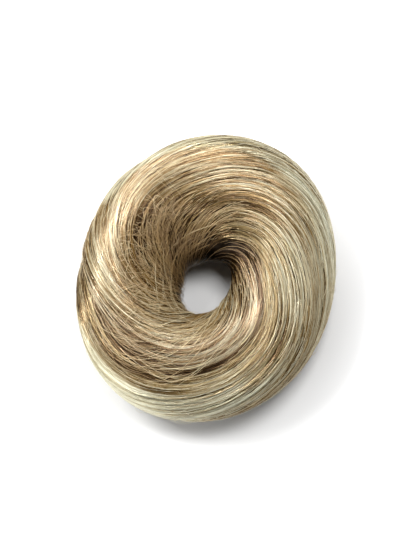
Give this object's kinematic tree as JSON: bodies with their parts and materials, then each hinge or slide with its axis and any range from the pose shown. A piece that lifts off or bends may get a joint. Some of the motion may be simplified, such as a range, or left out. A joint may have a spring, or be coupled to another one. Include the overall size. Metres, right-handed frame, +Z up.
{
  "type": "hair ring",
  "caption": "Ring-shaped hairpiece of blonde tresses wound in a twist round an elastic band, worn round a bun or ponytail that passes through its hole.",
  "frame": {"origin": "on the surface that the ring lies on, under the middle of its box", "axes": "+Z up through the hole, +Y along the longer side of the oval plan, +X to the right in the picture"},
  "size_m": [0.0922, 0.1022, 0.0354],
  "materials": {
    "elastic": "matte knitted elastic cover",
    "platinum_hair": "glossy straight hair, strands along the tress",
    "ash_hair": "glossy straight hair, strands along the tress",
    "gold_hair": "glossy straight hair, strands along the tress",
    "honey_hair": "glossy straight hair, strands along the tress",
    "caramel_hair": "glossy straight hair, strands along the tress",
    "cream_hair": "glossy straight hair, strands along the tress",
    "hazel_hair": "glossy straight hair, strands along the tress",
    "beige_hair": "glossy straight hair, strands along the tress"
  },
  "bodies": {
    "root": {"elastic_band": "elastic", "platinum_tress": "platinum_hair", "ash_tress": "ash_hair", "gold_tress": "gold_hair", "honey_tress": "honey_hair", "caramel_tress": "caramel_hair", "cream_tress": "cream_hair", "hazel_tress": "hazel_hair", "beige_tress": "beige_hair"}
  },
  "joints": []
}
